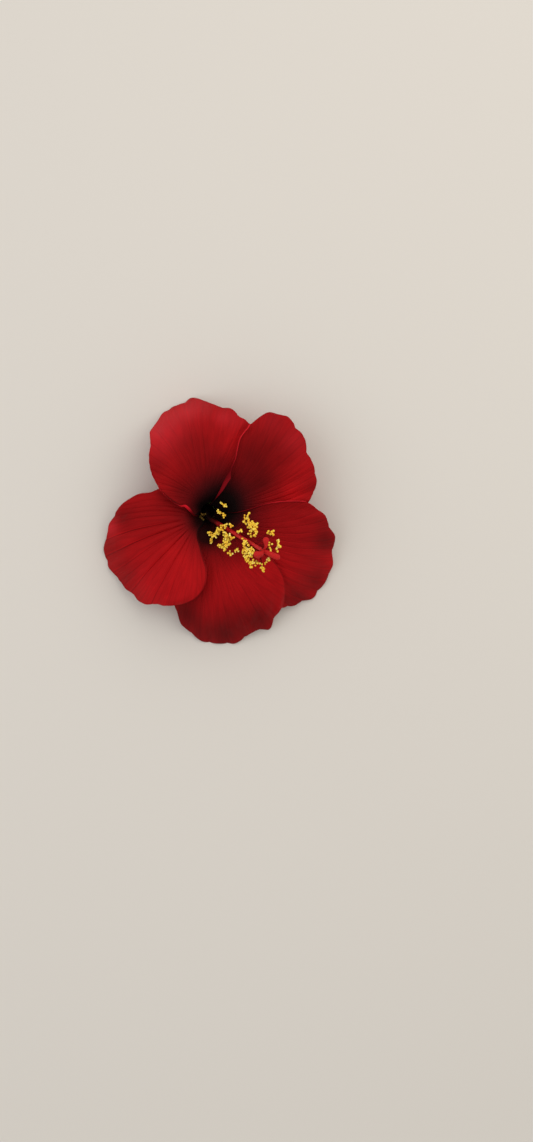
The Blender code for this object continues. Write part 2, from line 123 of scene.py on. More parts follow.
def throughPoints(points, x):
    # smooth curve through (x, y) points, level beyond its ends
    if x <= points[0][0]:
        return points[0][1]
    if x >= points[-1][0]:
        return points[-1][1]
    k = 0
    while points[k + 1][0] < x:
        k += 1
    (x0, y0), (x1, y1) = points[k], points[k + 1]
    span, t = x1 - x0, (x - x0) / (x1 - x0)
    chord = (y1 - y0) / span
    slopeIn = (y1 - points[k - 1][1]) / (x1 - points[k - 1][0]) if k else chord
    slopeOut = (points[k + 2][1] - y0) / (points[k + 2][0] - x0) if k + 2 < len(points) else chord
    start = (2 * t ** 3 - 3 * t ** 2 + 1) * y0 + (t ** 3 - 2 * t ** 2 + t) * span * slopeIn
    return start + (3 * t ** 2 - 2 * t ** 3) * y1 + (t ** 3 - t ** 2) * span * slopeOut


def curveThrough(points, radii, steps):
    # (point, radius) at even steps along the smooth curve through the given ones
    places = [step * (len(points) - 1) / steps for step in range(steps + 1)]
    return [(along(points, s), along(radii, s)) for s in places]


def countAlong(marks, x):
    # how many marks have been passed at x, with the share of the way to the next one
    k = 0
    while k < len(marks) - 2 and marks[k + 1] < x:
        k += 1
    return k + (x - marks[k]) / (marks[k + 1] - marks[k])


def mappedGrid(columns, rows, attributes, place, seam=False):
    # a grid bent by place(u, v), u from -1 to 1 across and v from 0 to 1 along, which gives a point, the values of
    # the attributes and the spot on the piece's own map
    bm = bmesh.new()
    layers = [bm.verts.layers.float.new(attribute) for attribute in attributes]
    bmesh.ops.create_grid(bm, x_segments=columns, y_segments=rows, size=0.5)
    spots = {}
    for vert in bm.verts:
        point, values, spots[vert] = place(2.0 * vert.co.x, vert.co.y + 0.5)
        vert.co = point * mm
        for layer, value in zip(layers, values):
            vert[layer] = value
    uv = bm.loops.layers.uv.new("UVMap")
    for face in bm.faces:
        for loop in face.loops:
            loop[uv].uv = spots[loop.vert]
    if seam:
        bmesh.ops.remove_doubles(bm, verts=bm.verts[:], dist=mergeDistance)
    return bm


def tube(line, sides):
    # a closed round tube along (point, radius)
    bm = bmesh.new()
    ring = None
    across = None
    for k, (point, radius) in enumerate(line):
        before, after = line[max(k - 1, 0)][0], line[min(k + 1, len(line) - 1)][0]
        way = (after - before).normalized()
        if across is None:
            across = way.orthogonal().normalized()
        across = (across - way * across.dot(way)).normalized()
        turn = Matrix((across, way.cross(across), way)).transposed().to_4x4()
        matrix = Matrix.Translation(point * mm) @ turn
        verts = bmesh.ops.create_circle(bm, segments=sides, radius=radius * mm, matrix=matrix)["verts"]
        edges = list({edge for vert in verts for edge in vert.link_edges if edge.other_vert(vert) in verts})
        if ring is None:
            bmesh.ops.contextual_create(bm, geom=verts)
        else:
            bmesh.ops.bridge_loops(bm, edges=ring + edges)
        ring = edges
    bmesh.ops.contextual_create(bm, geom=verts)
    bmesh.ops.recalc_face_normals(bm, faces=bm.faces[:])
    return bm


def joinInto(bm, part, material=0):
    # copies a finished part into another mesh and frees it
    for face in part.faces:
        face.material_index = material
    mesh = bpy.data.meshes.new("part")
    part.to_mesh(mesh)
    part.free()
    bm.from_mesh(mesh)
    bpy.data.meshes.remove(mesh)


def addPiece(name, bm, materials, replaced):
    # the finished mesh rides on the bloom and stands for the CAD nodes it replaces
    mesh = bpy.data.meshes.new(name)
    bm.to_mesh(mesh)
    bm.free()
    mesh.shade_smooth()
    for material in materials:
        mesh.materials.append(material)
    piece = bpy.data.objects.new(name, mesh)
    bpy.context.scene.collection.objects.link(piece)
    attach(piece, "root")
    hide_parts(*replaced)
    return piece


def thicken(piece, thickness, underMaterial=0):
    # gives a sheet its thickness; its under side and edge take the material that many places on
    wall = piece.modifiers.new("Thickness", "SOLIDIFY")
    wall.thickness = thickness * mm
    wall.offset = 0.0
    wall.material_offset = underMaterial
    wall.material_offset_rim = underMaterial


# the surface that all five petals share
bloom = {
    "mouth": Vector((-1.8, 1.8, 0.0)),  # middle of the funnel's mouth
    "lean": Vector((-4.0, 2.4, 0.0)),  # the funnel's foot lies this far from under it
    "funnel": ((4.6, 4.6), (4.8, 8.2), (5.4, 12.0), (7.0, 15.6), (10.4, 18.8)),
    "radii": (20.0, 34.0, 50.0, 66.0),
    "heights": {  # the blades' heights at those radii, by direction
        112: (22.5, 26.0, 21.0, -10.3),
        54: (24.0, 29.5, 31.5, 27.5),
        -6: (22.5, 26.5, 25.0, 12.0),
        -42: (22.0, 25.0, 20.5, 1.8),
        -90: (22.0, 24.5, 20.0, 3.8),
        200: (22.0, 24.5, 19.0, -4.1),
    },
    "reach": 27.0,  # how far a direction's heights hold to either side
    "lastRadius": 82.0,  # the surface goes on past every rim, at this much of its last slope
    "droop": 1.35,
    "halvings": 30,  # of the search for a radius
}
mouthStep = len(bloom["funnel"]) - 1
mouthRadius = bloom["funnel"][-1][0]
stepRadii = [r for r, z in bloom["funnel"]] + list(bloom["radii"]) + [bloom["lastRadius"]]


def heightsAt(direction):
    total, blended = 0.0, [0.0] * len(bloom["radii"])
    for angle, values in bloom["heights"].items():
        apart = (direction - angle + 180.0) % 360.0 - 180.0
        weight = math.exp(-0.5 * (apart / bloom["reach"]) ** 2)
        total += weight
        blended = [b + weight * v for b, v in zip(blended, values)]
    blade = [b / total for b in blended]
    return [z for r, z in bloom["funnel"]] + blade + [blade[-1] + bloom["droop"] * (blade[-1] - blade[-2])]


def stepAt(radius):
    low, high = 0.0, len(stepRadii) - 1.0
    for halving in range(bloom["halvings"]):
        middle = (low + high) / 2
        low, high = (middle, high) if along(stepRadii, middle) < radius else (low, middle)
    return (low + high) / 2


def onBloom(direction, s):
    radius, angle = along(stepRadii, s), math.radians(direction)
    centre = bloom["mouth"] + bloom["lean"] * (1.0 - smoothStep(s / (mouthStep + 1)))
    return centre + Vector((radius * math.cos(angle), radius * math.sin(angle), along(heightsAt(direction), s)))


def bloomNormal(direction, s, aside=0.5, onward=0.01):
    s = max(s, onward)
    roundIt = onBloom(direction + aside, s) - onBloom(direction - aside, s)
    upIt = onBloom(direction, s + onward) - onBloom(direction, s - onward)
    return upIt.cross(roundIt).normalized()


petalMake = {
    "columns": 200,
    "crowding": 1.25,  # columns stand closer together towards the covering edge
    "rows": 130,
    "thickness": 0.4,
    "funnelShare": 0.16,  # share of the rows below the mouth
    "twist": (0.5, 0.9, 4.0),  # covering edge inside the shared surface, at the foot, up the funnel and at the rim
    "freeFrom": 16.0,
    "freeAt": 54.0,
    "arch": 2.2,
    "curl": (0.8, 0.2),  # the covering edge curls up from this far across, over this much
    "frillPower": 6,  # how close to the rim the frill keeps
    "frillRagged": 0.4,
    "rollFrom": 0.5,  # rolls start further out than this
    "rollLook": 0.02,  # step back from a roll's start that gives its direction
    "hemRise": 2.5,  # the hem's painted light and shade is full this many times sooner than the roll ends
    # the throat's dark is the bloom's own dark eye with painted shade, centred off the mouth where that shade falls
    # deepest
    "darkMiddle": Vector((2.6, 6.4, 0.0)),
    "paintedShadeBelow": 19.0,  # painted shade: under this height the throat darkens, as if up to the gain below nearer its middle
    "paintedShadeGain": 8.0,
    "darkReach": 70.0,
    "darkest": 0.12,  # painted shade from the patches darkens no further than this share
    "mapLength": 10.0,  # the petal's map is in creases across and in this length along
}
rimMake = {
    "size": (0.75, 0.5),  # a scallop's size beside the petal's own figure, and how much it varies
    "sizeRate": 0.8,
    "pointed": 0.8,
    "inset": 0.6,
    "ragged": (0.5, 0.28),  # finer raggedness, and how fast it changes by the degree
    "calmEnds": 12.0,  # scallops grow over a twelfth of the rim from each end
}
fanMake = {
    "length": 60.0,
    "fullBend": 40.0,  # degrees from the middle where a fan's bend is full
    "wander": (0.16, 0.7, 2.4),  # how far the creases wander, and how fast across and along
    "begin": (3.0, 10.0),  # distance where creases begin, and the length they deepen over
    "fade": (0.45, 34.0, 20.0),  # share that they lose, the distance where that begins and its length
    "width": 0.14,
    "fold": 0.5,  # the soft fold between two creases beside the creases themselves
}
# over and under are the covering and the covered edge as (radius, direction), rim is (direction, radius);
# raise and curl lift the covering edge, roll turns a strip of it back as (radius, degrees, width) and hem is the
# painted light and shade on that strip as (radius, share); fan is where the veins spread from (radius, direction),
# their middle direction, and how they turn over its length: all of them, those towards the covered edge and those
# towards the covering edge; creases are (direction, strength) and depth is the deepest one's; crests are the
# directions where the rim stands out, frill is (height, scallop, seed), patches are painted light and shade with
# a painted pinkish sheen, as (x, y, reach, how much lighter or darker, how much pinker if at all)
petals = {
    "UpperLeft": {
        "over": ((4.6, 163), (7, 172), (10, 184), (12.5, 173), (15.5, 165), (18, 165), (24, 160.5), (30, 155),
            (34.5, 150), (38.5, 146), (43, 140.5), (46, 136.5), (49, 132), (54.8, 128)),
        "under": ((4.6, 80), (7, 68), (10, 58), (18, 50), (30, 48), (44, 50)),
        "rim": ((50, 43), (57, 48), (65, 51), (73, 52.8), (80, 56.2), (88, 57.8), (94, 61), (100, 64.3), (106, 62.8),
            (115, 61.6), (121, 58.6), (128, 54.8)),
        "raise": 1.2, "curl": 1.0,
        "roll": ((8, 30, 1.5), (10, 120, 2.8), (14, 160, 4.4), (17, 140, 3.0), (20, 40, 1.5), (56, 15, 1.0)),
        "hemPaintedShading": ((9, 0.1), (11.1, 0.2), (12.4, 0.45), (13.6, 0.95), (15, 1.6), (17, 1.3), (19, 0.6), (24, 0.45),
            (30, 0.8)),
        "fan": (8.0, 118.0, 98.0, 0.0, 0.1, 0.35),
        "creases": ((56, 0.15), (68, 0.2), (80, 0.12), (92, 0.2), (103, 0.25), (113, 0.2), (121, 0.45), (127, 0.3),
            (132, 0.7), (137, 0.45), (141.5, 0.75), (146, 0.4), (150, 0.6), (156, 0.45), (164, 0.3)),
        "depth": 0.35,
        "crests": (56, 64, 72, 80.5, 90, 99.5, 109, 117.5, 127),
        "frill": (0.9, 1.0, 1.3),
        "paintedShadingPatches": ((-27, 50, 11, 0.26, 0.36), (-31, 37, 8, 0.08, 0.14), (-14, 39, 11, -0.3), (9, 40, 6, 0.34),
            (10, 53, 7, 0.04, 0.17), (-10, 60, 8, 0.12, 0.24), (-3, 33, 8, -0.14), (-31, 28, 6, -0.3),
            (-19, 15, 5, -0.22), (-33, 46, 5, 0.16, 0.22), (-17, 57, 5, 0.16, 0.16), (3, 53, 4, 0.08, 0.2),
            (-7, 7, 5, -0.65), (-8.5, 6, 4, -0.4)),
    },
    "UpperRight": {
        "over": ((4.6, 91), (7, 87), (10, 80), (13, 75.5), (16, 72.5), (19, 71.5), (22.5, 70.8), (26, 69.5), (31, 68.7),
            (36, 69.8), (42, 70.6), (49, 68.5)),
        "under": ((4.6, 11), (7, 4), (10, -5), (18, -8), (30, -8), (41, -5)),
        "rim": ((-5, 41), (2, 46.5), (8, 50), (12, 53), (16, 55.8), (24, 58.2), (33, 59), (40, 62), (46, 63), (52, 64),
            (60, 61.8), (64, 57.2), (68.5, 49)),
        "raise": 1.5, "curl": 0.8,
        "roll": ((8, 40, 1.5), (11, 120, 3.2), (15, 165, 7.0), (18, 174, 8.4), (20, 174, 8.0), (22.5, 170, 6.6),
            (25, 165, 5.2), (28, 158, 4.0), (31, 150, 3.2), (36, 145, 2.5), (49, 150, 2.6)),
        "hemPaintedShading": ((9, 0.08), (10, 0.25), (11.5, 0.8), (14, 0.95), (17, 0.75), (19.6, 0.55), (21.5, 0.4), (23.5, 0.33),
            (26, 0.38), (29, 0.6), (34, 1.0), (38, 1.25), (49, 1.2)),
        "fan": (8.0, 50.0, 30.0, 12.0, -0.6, 0.0),
        "creases": ((-26, 0.3), (-17, 0.4), (-9, 0.5), (-2, 0.4), (5, 0.5), (11, 0.35), (18, 0.3), (27, 0.15),
            (37, 0.12), (47, 0.2), (57, 0.12), (67, 0.15)),
        "depth": 0.3,
        "crests": (-5, 2, 9.5, 17.5, 27.5, 41, 53, 62, 70),
        "frill": (0.9, 1.1, 4.1),
        "paintedShadingPatches": ((15, 32, 11, -0.4), (27, 41, 11, -0.22), (29, 52, 6, -0.12, 0.1), (26, 25, 10, -0.3),
            (50, 18, 5, -0.24), (42, 41, 8, -0.14, 0.12), (46, 26, 6, 0.12), (39, 33, 7, -0.12), (16, 7.5, 5, 0.24),
            (27, 10, 5, 0.3), (39, 12, 6, 0.5), (24, 17, 7, -0.3), (44, 38, 5, 0.14), (11, 28, 6, 0.1)),
    },
    "Right": {
        "over": ((4.6, 19), (7, 14), (10, 8), (14, 8), (22, 11), (30, 12), (38, 11), (49, 8.5)),
        "under": ((4.6, -62), (7, -65), (10, -67), (20, -64), (36, -62), (49, -64)),
        "rim": ((-64, 49), (-58, 56.5), (-52, 61), (-48, 63.4), (-44, 65), (-40, 67.8), (-28, 68.4), (-22, 67.8),
            (-17, 65.6), (-10, 64.8), (-6, 61.6), (0, 58), (4, 54), (8.5, 48.5)),
        "raise": 1.0, "curl": 0.8,
        "roll": ((8, 10, 1.5), (14, 60, 1.2), (24, 110, 1.6), (32, 150, 2.2), (49, 150, 2.1)),
        "hemPaintedShading": ((10, 0.15), (12, 0.2), (18, 0.55), (21.5, 0.5), (28, 0.7), (33, 0.87), (40, 0.88)),
        "fan": (8.0, -10.0, -52.0, 27.0, 0.0, 0.0),
        "creases": ((-88, 0.3), (-80, 0.4), (-73, 0.45), (-66, 0.35), (-59, 0.5), (-52.5, 0.35), (-46.5, 0.55),
            (-41, 0.4), (-36, 0.55), (-30, 0.45), (-23.5, 0.55), (-17, 0.35), (-10, 0.3)),
        "depth": 0.32,
        "crests": (-61, -54, -47.5, -40, -31, -22, -10, -1, 7),
        "frill": (1.3, 1.1, 7.7),
        "paintedShadingPatches": ((57, -11, 8, -0.55), (53, 1, 6, -0.18), (42, -14, 9, -0.12), (41, 5, 8, -0.16), (53, -31, 6, -0.42),
            (42, -41, 8, -0.44), (61, -21, 5, 0.14), (31, -25, 8, 0.16)),
    },
    "Lower": {
        "over": ((4.6, -53), (7, -50), (10, -47), (20, -40), (36, -36.5), (44, -38.5), (51, -43), (57, -49),
            (60, -52.5)),
        "under": ((4.6, -136), (7, -140), (10, -144), (14, -138), (18, -126), (26, -118), (36, -115), (48, -120)),
        "rim": ((-120, 47), (-115, 51), (-111, 55.5), (-107, 59.5), (-102, 62.8), (-98, 65.4), (-94, 67.2), (-88, 67.6),
            (-82, 68.4), (-76, 66.6), (-71, 64.6), (-67, 65.4), (-64, 66.6), (-60, 63.4), (-56, 61), (-52.5, 60)),
        "raise": 0.0, "curl": 0.3,
        "roll": ((8, 5, 1.0), (60, 5, 1.0)),
        "hemPaintedShading": ((8, 0.3), (20, 0.6), (40, 0.6), (60, 0.8)),
        "fan": (8.0, -95.0, -90.0, 6.0, 0.0, 0.0),
        "creases": ((-133, 0.2), (-122, 0.25), (-112, 0.2), (-103, 0.25), (-94, 0.15), (-85, 0.25), (-76, 0.2),
            (-66, 0.25), (-56, 0.2), (-45, 0.2), (-34, 0.2)),
        "depth": 0.3,
        "crests": (-118, -106, -96, -88.5, -80, -72, -64, -55.5, -47),
        "frill": (0.95, 1.1, 2.9),
        "paintedShadingPatches": ((12, -31, 11, 0.1), (0, -30, 8, 0.02), (9, -47, 8, -0.14), (29, -29, 6, -0.06), (4, -60, 10, -0.62),
            (-17, -50, 9, -0.5), (22, -53, 10, -0.58), (-10, -38, 6, -0.24), (-7, -8, 7, -0.85), (-3, -11, 6, -0.4),
            (28, -24, 6, 0.2), (-10, -60, 7, -0.3), (-15, -48, 7, -0.14)),
    },
    "Left": {
        "over": ((4.6, 235), (7, 232), (10, 227), (13.5, 232), (18, 248), (22.5, 256.5), (28, 263), (36, 263.5),
            (44, 258), (50, 249.5)),
        "under": ((4.6, 155), (7, 158), (10, 157), (17.5, 143), (26, 146), (31.5, 153.5), (35, 159.5), (40.5, 163.5),
            (45, 168.5), (48.6, 172.5)),
        "rim": ((172.5, 48.6), (176, 50.8), (183, 54.6), (190, 58), (195, 61), (203, 62.2), (208, 62), (214, 60.8),
            (222, 60), (231, 59.4), (236, 56), (243, 53), (249.5, 49.5)),
        "raise": 2.6, "curl": 0.4,
        "roll": ((8, 5, 1.0), (60, 5, 1.0)),
        "hemPaintedShading": ((8, 0.2), (16, 0.3), (26, 0.6), (50, 0.8)),
        "fan": (7.5, 190.0, 208.0, 0.0, -0.8, 0.0),
        "creases": ((130, 0.3), (142, 0.4), (155, 0.55), (168, 0.4), (186.5, 0.85), (200.5, 1.0), (211.5, 0.6),
            (218, 0.35), (226.5, 1.0), (233, 0.2), (240, 0.7), (249, 0.35), (260, 0.25), (272, 0.15)),
        "depth": 0.65,
        "crests": (174, 185.5, 197.5, 207, 217.5, 231, 244, 255),
        "frill": (1.1, 1.1, 9.2),
        "paintedShadingPatches": ((-50, 0, 7, -0.38), (-57, -4, 4, 0.3, 0.3), (-57, -15, 6, -0.2), (-24, 15, 6, -0.24),
            (-36, -3, 11, -0.2), (-40, -32, 8, 0.2, 0.05), (-14, -31, 11, 0.2), (-46, -30, 7, -0.3),
            (-57, -25, 4, 0.12), (-51, -6, 4, 0.12), (-9, 0, 6.5, -0.75), (-9, -4, 5, -0.3), (-5, -8, 5, -0.35),
            (-20, -17, 10, 0.34), (-33, -45, 7, 0.14)),
    },
}


def rimOf(shape, share):
    # radius of the rim with its scallops, how many crests it has passed and its finer raggedness
    first, last = shape["rim"][0][0], shape["rim"][-1][0]
    direction = first + share * (last - first)
    scallop, seed = shape["frill"][1:]
    passed = countAlong(shape["crests"], direction)
    size, sizeChange = rimMake["size"]
    size += sizeChange * noise.noise(Vector((passed * rimMake["sizeRate"], seed, 2.0)))
    ragged, raggedRate = rimMake["ragged"]
    fine = noise.noise(Vector((direction * raggedRate, seed, 5.0)))
    calm = min(1.0, rimMake["calmEnds"] * share, rimMake["calmEnds"] * (1.0 - share))
    wave = abs(math.cos(math.pi * passed)) ** rimMake["pointed"] - rimMake["inset"]
    radius = throughPoints(shape["rim"], direction) + calm * (scallop * size * wave + ragged * fine)
    return radius, passed, fine


def fanAt(shape, point):
    # how many creases have been passed here and how far out along them it is
    radius, direction, middle, swirl, bendUnder, bendOver = shape["fan"]
    angle = math.radians(direction)
    out = point - (bloom["mouth"] + radius * Vector((math.cos(angle), math.sin(angle), 0.0)))
    out.z = 0.0
    far = out.length / fanMake["length"]
    turn = (math.degrees(math.atan2(out.y, out.x)) - middle - swirl * far + 180.0) % 360.0 - 180.0
    bend = (bendOver if turn > 0.0 else bendUnder) * min(1.0, abs(turn) / fanMake["fullBend"])
    x = countAlong([direction for direction, strength in shape["creases"]], middle + turn / (1.0 + bend * far))
    wander, acrossRate, alongRate = fanMake["wander"]
    return x + wander * noise.noise(Vector((x * acrossRate, shape["frill"][2], far * alongRate))), out.length


def creaseAt(shape, x, length):
    # how strong the nearest crease is here, and how far the surface sinks into it
    nearest = min(max(round(x), 0), len(shape["creases"]) - 1)
    (begin, deepen), (fade, fadeFrom, fadeOver) = fanMake["begin"], fanMake["fade"]
    reach = smoothStep((length - begin) / deepen) * (1.0 - fade * smoothStep((length - fadeFrom) / fadeOver))
    strength = shape["creases"][nearest][1] * reach
    groove = math.exp(-(abs(x - nearest) / fanMake["width"]) ** 2)
    return strength, strength * (groove + fanMake["fold"] * (1.0 - abs(math.sin(math.pi * x))))


# painted light and shade summed from a petal's patches, and their painted pinkish sheen
def paintedShadingAt(shape, point):
    lighter, pinker = 0.0, 0.0
    for x, y, reach, shadingAmount, *sheenPaint in shape["paintedShadingPatches"]:
        weight = math.exp(-((point.x - x) ** 2 + (point.y - y) ** 2) / (reach * reach))
        lighter += weight * shadingAmount
        pinker += weight * sum(sheenPaint)
    return max(petalMake["darkest"], 1.0 + lighter), pinker


def petalPoint(shape, u, v):
    share = (u + 1.0) / 2.0
    rimRadius, passed, fine = rimOf(shape, share)
    rimStep = stepAt(rimRadius)
    if v < petalMake["funnelShare"]:
        s = mouthStep * v / petalMake["funnelShare"]
    else:
        s = mouthStep + (rimStep - mouthStep) * (v - petalMake["funnelShare"]) / (1.0 - petalMake["funnelShare"])
    radius = along(stepRadii, s)
    under, over = throughPoints(shape["under"], radius), throughPoints(shape["over"], radius)
    direction = under + share * (over - under)
    outward = smoothStep((radius - petalMake["freeFrom"]) / (petalMake["freeAt"] - petalMake["freeFrom"]))
    footTwist, funnelTwist, rimTwist = petalMake["twist"]
    twist = footTwist + (funnelTwist - footTwist) * smoothStep(s / 2.0) + (rimTwist - funnelTwist) * outward
    pastMouth = smoothStep((radius - mouthRadius) / mouthRadius)
    lift = twist * u - petalMake["arch"] * outward * u * u
    curlFrom, curlOver = petalMake["curl"]
    lift += pastMouth * (shape["raise"] * smoothStep(u) + shape["curl"] * smoothStep((u - curlFrom) / curlOver))
    nearRim = (radius / rimRadius) ** petalMake["frillPower"]
    ragged = nearRim ** 2 * petalMake["frillRagged"] * fine
    lift += nearRim * shape["frill"][0] * math.cos(2.0 * math.pi * passed) + ragged
    bare = onBloom(direction, s)
    x, length = fanAt(shape, bare)
    strength, sunk = creaseAt(shape, x, length)
    lift -= shape["depth"] * sunk * pastMouth
    way = bloomNormal(direction, s).lerp(up, pastMouth).normalized()
    return {
        "point": bare + way * lift, "way": way, "radius": radius, "crease": strength * pastMouth, "fan": (x, length),
    }


def petalPlace(shape):
    # the petal with a strip along its covering edge rolled back
    degreesAt = [(radius, degrees) for radius, degrees, width in shape["roll"]]
    widthAt = [(radius, width) for radius, degrees, width in shape["roll"]]
    edges = {}

    def place(u, v):
        u = 1.0 - 2.0 * ((1.0 - u) / 2.0) ** petalMake["crowding"]
        here = petalPoint(shape, u, v)
        point = here["point"]
        lighter, pinker = paintedShadingAt(shape, point)
        if u > petalMake["rollFrom"]:
            if v not in edges:
                inner = petalPoint(shape, petalMake["rollFrom"], v)
                edges[v] = (petalPoint(shape, 1.0, v)["point"] - inner["point"]).length
            turn = math.radians(throughPoints(degreesAt, here["radius"]))
            width = throughPoints(widthAt, here["radius"])
            bend = width / turn
            extent = bend * math.sin(min(turn, math.pi / 2))
            strip = 1.0 - petalMake["rollFrom"] * extent / edges[v]
            if u > strip:
                start = petalPoint(shape, strip, v)
                inner = petalPoint(shape, strip - petalMake["rollLook"], v)
                onward = (start["point"] - inner["point"]).normalized()
                side = (start["way"] - onward * start["way"].dot(onward)).normalized()
                across = (u - strip) / (1.0 - strip)
                angle = turn * across
                hemmed = smoothStep(across * petalMake["hemRise"])
                # painted light and shade on the rolled strip: a highlight where it catches light, shade deep in the
                # throat
                lighter *= 1.0 + (throughPoints(shape["hemPaintedShading"], here["radius"]) - 1.0) * hemmed
                point = start["point"] + onward * (bend * math.sin(angle)) + side * (bend * (1.0 - math.cos(angle)))
        # the throat's dark by distance, with painted shade that counts lower points as nearer its middle
        reach = here["point"] - petalMake["darkMiddle"]
        reach.z = 0.0
        depth = max(0.0, 1.0 - here["point"].z / petalMake["paintedShadeBelow"]) * petalMake["paintedShadeGain"]
        values = (here["crease"], max(0.0, reach.length - depth) / petalMake["darkReach"], lighter, pinker)
        x, length = here["fan"]
        return point, values, (x, length / petalMake["mapLength"])
    return place


petalAttributes = ("crease", "reach", "lighter", "pinker")
# lines are the painted shade of a crease's dark line and the painted highlight of its lit shoulder as (shift, width);
# veins, streaks and grain are the scales of those patterns across and along the petal's map, and the rises are
# their heights beside the grain's
skin = {
    "lines": ((0.0, 0.06), (0.09, 0.07)),
    "veins": (2.6, 0.5, 1.0),
    "veinWidth": 0.2,
    "wander": 0.10,
    "streaks": (3.2, 0.3, 1.0),
    "grain": (11.0, 1.2, 1.0),
    "cloud": 45.0,
    "veinRise": -0.5,
    "streakRise": 1.2,
    "lineRise": -1.6,
    "relief": (0.45, 0.0002),
}


def makePetalMaterial(name, tones, shares, sheenPaint, specular, sheen):
    # hibiscus petal tissue: thin, moist and faintly waxy, with fine veins that join and part, sunken creases with
    # painted shade down them and a painted highlight on a shoulder beside them, and a painted pinkish sheen where
    # the patches call for it. The upper side falls to near black in the throat, its own dark eye deepened by painted
    # shade; the under side is paler and its veins stand out darker
    material, tree, shader = newMaterial(name, {
        "Roughness": 0.6, "IOR": 1.38, "Specular IOR Level": specular,
        "Sheen Weight": sheen, "Sheen Tint": srgb("#f0a8a8"),
    })
    uv = addNode(tree, "UVMap", {"uv_map": "UVMap"})
    across = addNode(tree, "SeparateXYZ", links={0: uv})
    place = addNode(tree, "TexCoord").outputs["Object"]
    crease, reach, lighter, pinker = [
        addNode(tree, "Attribute", {"attribute_name": attribute}).outputs["Fac"] for attribute in petalAttributes]
    # painted shade: a fine dark line down each crease, and a painted highlight: a lit shoulder on its one side
    profiles = []
    for shift, width in skin["lines"]:
        moved = addNode(tree, "Math", {"operation": "ADD", 1: shift}, {0: across})
        nearest = addNode(tree, "Math", {"operation": "PINGPONG", 1: 0.5}, {0: moved})
        profile = addNode(tree, "MapRange", {
            "interpolation_type": "SMOOTHSTEP", "From Min": 0.0, "From Max": width, "To Min": 1.0, "To Max": 0.0,
        }, {"Value": nearest})
        profiles.append(addNode(tree, "Math", {"operation": "MULTIPLY"}, {0: profile, 1: crease}))
    lines, paintedShoulderLight = profiles
    # veins: long thin cells, a third of a fold wide, whose borders join and part
    wander = addNode(tree, "TexNoise", {"Scale": 0.8, "Detail": 2.0}, {"Vector": uv})
    bent = addNode(tree, "MixRGB", {"blend_type": "LINEAR_LIGHT", "Fac": skin["wander"]}, {
        "Color1": uv, "Color2": wander.outputs["Color"],
    })
    veinMap, streakMap, grainMap = [
        addNode(tree, "Mapping", {"Scale": skin[kind]}, {"Vector": bent}) for kind in ("veins", "streaks", "grain")]
    cells = addNode(tree, "TexVoronoi", {
        "voronoi_dimensions": "2D", "feature": "DISTANCE_TO_EDGE", "Scale": 1.0, "Randomness": 0.8,
    }, {"Vector": veinMap})
    veins = addNode(tree, "MapRange", {
        "interpolation_type": "SMOOTHSTEP", "From Min": 0.0, "From Max": skin["veinWidth"],
        "To Min": 1.0, "To Max": 0.0,
    }, {"Value": cells})
    # streaks 2 mm wide and 30 mm long that follow the veins, then a finer grain drawn out the same way
    streaks, grain = [addNode(tree, "TexNoise", {
        "noise_dimensions": "2D", "Scale": 1.0, "Detail": detail, "Roughness": 0.6,
    }, {"Vector": stretched}) for stretched, detail in ((streakMap, 2.0), (grainMap, 3.0))]
    # tone by distance from the dark of the throat: the bloom's own dark eye, deepened by painted shade lower down
    tone = addNode(tree, "ValToRGB", {"stops": tones}, {"Fac": reach})
    # broad, soft unevenness 20 mm across
    cloud = addNode(tree, "TexNoise", {"Scale": skin["cloud"], "Detail": 2.0}, {"Vector": place})
    # start from the painted light and shade of the patches and the hem
    shades = lighter
    for source, low, high in ((cloud, 0.92, 1.07), (streaks, 0.93, 1.06), (grain, 0.94, 1.05)):
        part = addNode(tree, "MapRange", {"From Min": 0.3, "From Max": 0.7, "To Min": low, "To Max": high}, {
            "Value": source,
        })
        shades = addNode(tree, "Math", {"operation": "MULTIPLY"}, {0: shades, 1: part})
    # the veins' own darker colour, the painted shade in the crease lines and the painted highlight on their shoulders
    for source, share in zip((veins, lines, paintedShoulderLight), shares):
        shade = addNode(tree, "Math", {"operation": "MULTIPLY_ADD", 1: share, 2: 1.0}, {0: source})
        shades = addNode(tree, "Math", {"operation": "MULTIPLY"}, {0: shades, 1: shade})
    colour = addNode(tree, "VectorMath", {"operation": "SCALE"}, {0: tone, "Scale": shades})
    # painted sheen: a paler pinkish colour mixed in where the patches ask for it
    withPaintedSheen = addNode(tree, "MixRGB", {"blend_type": "MIX", "Color2": srgb(sheenPaint)}, {"Fac": pinker, "Color1": colour})
    # crease lines lie deepest, then the veins; the streaks and the grain stand up between them
    height = addNode(tree, "Math", {"operation": "MULTIPLY_ADD", 1: skin["veinRise"]}, {0: veins, 2: grain})
    height = addNode(tree, "Math", {"operation": "MULTIPLY_ADD", 1: skin["streakRise"]}, {0: streaks, 2: height})
    height = addNode(tree, "Math", {"operation": "MULTIPLY_ADD", 1: skin["lineRise"]}, {0: lines, 2: height})
    dress(tree, shader, withPaintedSheen, height, *skin["relief"])
    return material


